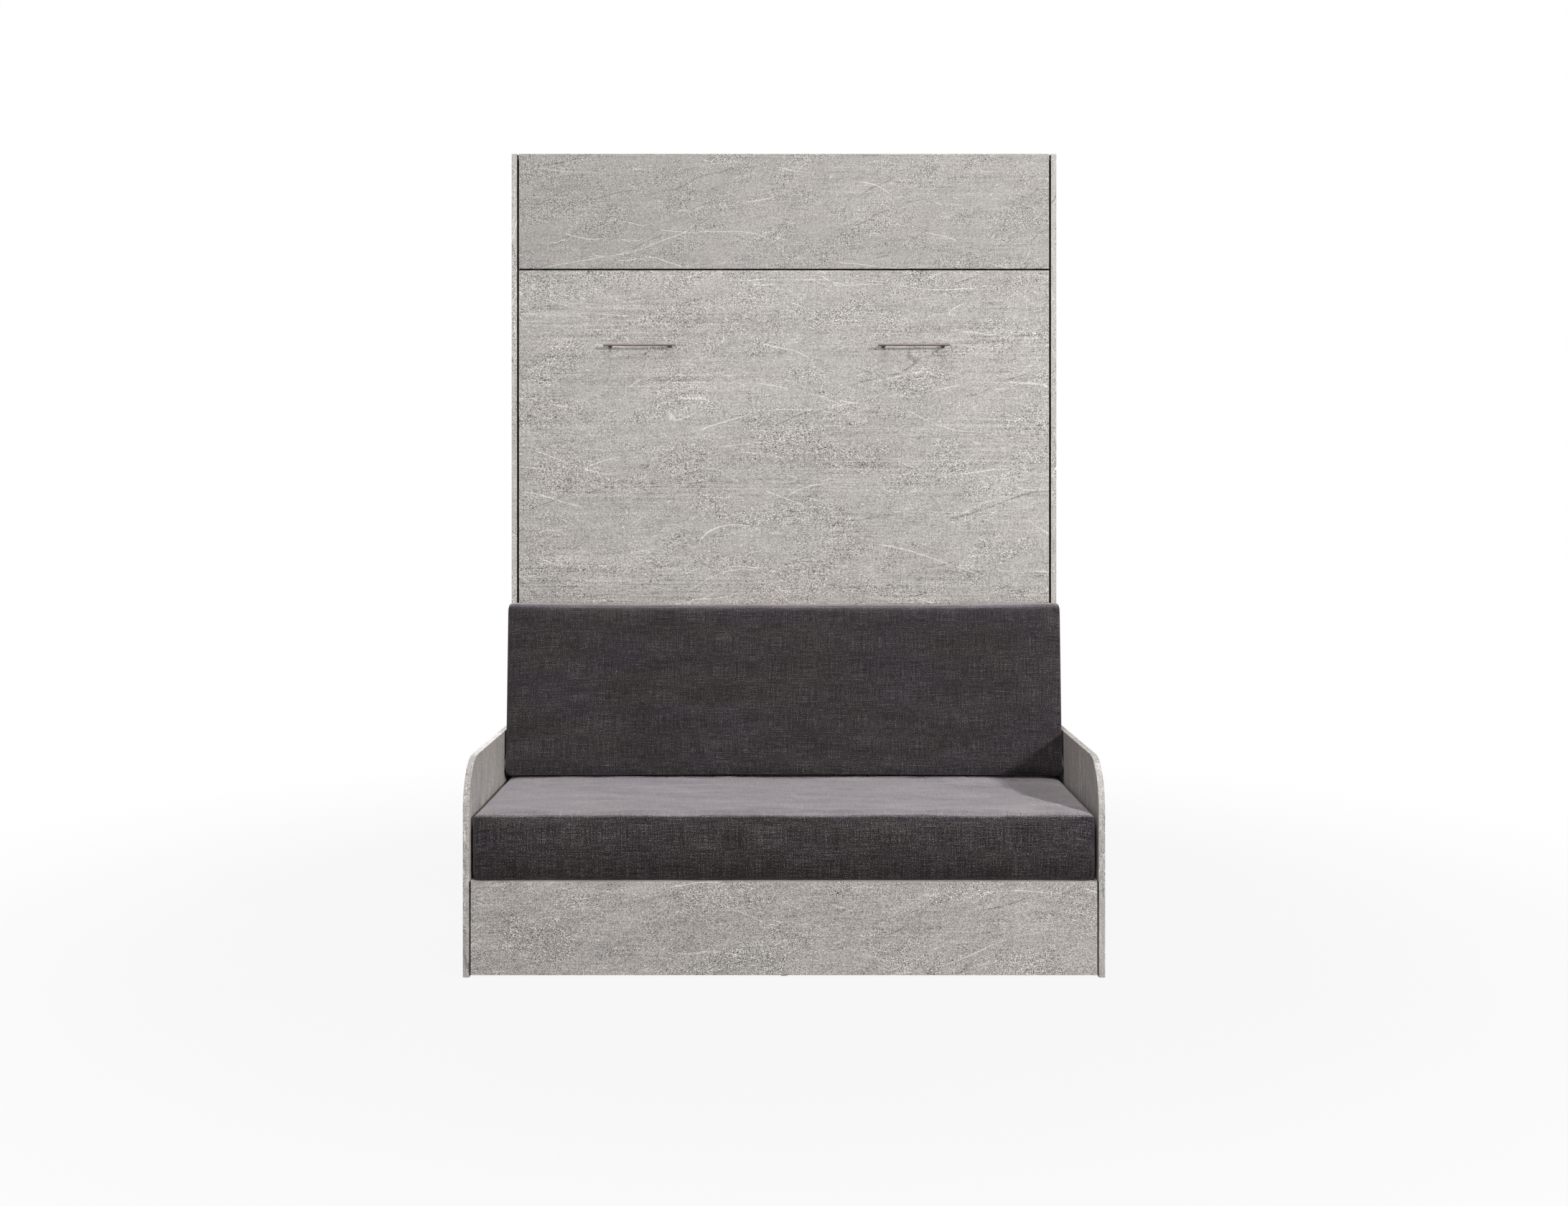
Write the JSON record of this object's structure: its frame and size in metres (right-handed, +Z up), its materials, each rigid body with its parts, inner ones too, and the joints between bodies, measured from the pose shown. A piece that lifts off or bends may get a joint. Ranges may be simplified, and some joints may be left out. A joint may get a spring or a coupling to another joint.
{
  "type": "wall bed with sofa",
  "caption": "Upright wall bed in a board cabinet with bar handles, which folds down over a cushioned sofa with rounded board arms.",
  "frame": {"origin": "on the floor, in the middle of the object's outline with the bed closed", "axes": "+X to the right for a viewer in front of the sofa, +Y from the sofa towards the wall, +Z up"},
  "size_m": [1.6126, 1.1172, 2.2],
  "materials": {
    "concrete_board": "satin",
    "inner_board": "satin",
    "charcoal_cloth": "matte",
    "mattress_cloth": "matte",
    "strap_cloth": "matte",
    "birch": "satin",
    "grey_paint": "satin",
    "zinc": "satin",
    "handle_steel": "satin",
    "black_paint": "satin",
    "grey_plastic": "matte",
    "rubber": "matte"
  },
  "bodies": {
    "cabinet": {"cabinet_side_left": "concrete_board", "cabinet_side_right": "concrete_board", "cabinet_top": "concrete_board", "wall_rail": "inner_board", "rear_rail": "inner_board", "lower_front_board": "concrete_board", "back_sheet_lower": "inner_board", "back_sheet_upper": "inner_board", "back_joint_strip": "grey_plastic", "pivot_plate_left": "grey_paint", "pivot_plate_right": "grey_paint", "strut_plate_left": "grey_paint", "strut_plate_right": "grey_paint", "bed_stop_left": "rubber", "bed_stop_right": "rubber", "wall_screw_left": "zinc", "wall_screw_right": "zinc", "sofa_arm_left": "concrete_board", "sofa_arm_right": "concrete_board", "sofa_front_board": "concrete_board", "sofa_rear_board": "inner_board", "seat_platform": "inner_board", "platform_support": "inner_board", "platform_cleat_left": "birch", "platform_cleat_right": "birch", "seat_cushion": "charcoal_cloth", "backrest_bush_left": "grey_plastic", "backrest_bush_right": "grey_plastic"},
    "bed": {"front_panel_main": "concrete_board", "front_panel_header": "concrete_board", "bed_rail_left": "grey_paint", "bed_rail_right": "grey_paint", "bed_head_bar": "grey_paint", "bed_foot_bar": "grey_paint", "bed_centre_beam": "grey_paint", "slatted_base": "birch", "mattress": "mattress_cloth", "mattress_strap_head": "strap_cloth", "mattress_strap_foot": "strap_cloth", "mattress_stop": "grey_paint", "bed_bracket_left": "grey_paint", "bed_bracket_right": "grey_paint", "bed_bush_left": "grey_plastic", "bed_bush_right": "grey_plastic", "leg_pivot_left": "zinc", "leg_pivot_right": "zinc", "handle_left": "handle_steel", "handle_right": "handle_steel"},
    "backrest": {"backrest_cushion": "charcoal_cloth", "backrest_board": "birch", "backrest_hinge_left": "grey_paint", "backrest_hinge_right": "grey_paint"},
    "leg_left": {"leg_left": "grey_paint", "leg_foot_left": "rubber"},
    "leg_right": {"leg_right": "grey_paint", "leg_foot_right": "rubber"},
    "strut_cylinder_left": {"strut_cylinder_left": "black_paint"},
    "strut_rod_left": {"strut_rod_left": "handle_steel"},
    "strut_cylinder_right": {"strut_cylinder_right": "black_paint"},
    "strut_rod_right": {"strut_rod_right": "handle_steel"}
  },
  "joints": [
    {"name": "bed_fold", "type": "hinge", "parent": "cabinet", "child": "bed", "pos_m": [0, 0.11344, 0.547], "axis": [1, 0, 0], "range_deg": [0, 90], "stiffness_Nm_per_rad": 110, "springref_deg": -28.65},
    {"name": "backrest_fold", "type": "hinge", "parent": "cabinet", "child": "backrest", "pos_m": [0, -0.01356, 0.447], "axis": [1, 0, 0], "range_deg": [0, 95]},
    {"name": "leg_left_swing", "type": "hinge", "parent": "bed", "child": "leg_left", "pos_m": [-0.7715, 0.13974, 2], "axis": [1, 0, 0], "range_deg": [-90, 0]},
    {"name": "leg_right_swing", "type": "hinge", "parent": "bed", "child": "leg_right", "pos_m": [0.7715, 0.13974, 2], "axis": [1, 0, 0], "range_deg": [-90, 0]},
    {"name": "strut_left_tilt", "type": "hinge", "parent": "cabinet", "child": "strut_cylinder_left", "pos_m": [-0.749, 0.18844, 0.95], "axis": [1, 0, 0], "range_deg": [0, 7.95]},
    {"name": "strut_left_slide", "type": "slide", "parent": "strut_cylinder_left", "child": "strut_rod_left", "axis": [0, 0.045, 0.999], "range_m": [0, 0.159]},
    {"name": "strut_right_tilt", "type": "hinge", "parent": "cabinet", "child": "strut_cylinder_right", "pos_m": [0.749, 0.18844, 0.95], "axis": [1, 0, 0], "range_deg": [0, 7.95]},
    {"name": "strut_right_slide", "type": "slide", "parent": "strut_cylinder_right", "child": "strut_rod_right", "axis": [0, 0.045, 0.999], "range_m": [0, 0.159]}
  ],
  "couplings": [
    {"joint": "backrest_fold", "follows": "bed_fold", "ratio": 1.0555},
    {"joint": "leg_left_swing", "follows": "bed_fold", "ratio": -1},
    {"joint": "leg_right_swing", "follows": "bed_fold", "ratio": -1},
    {"joint": "strut_left_tilt", "follows": "bed_fold", "ratio": 0.088313},
    {"joint": "strut_left_slide", "follows": "bed_fold", "m_per_rad": 0.1012},
    {"joint": "strut_right_tilt", "follows": "bed_fold", "ratio": 0.088313},
    {"joint": "strut_right_slide", "follows": "bed_fold", "m_per_rad": 0.1012}
  ]
}
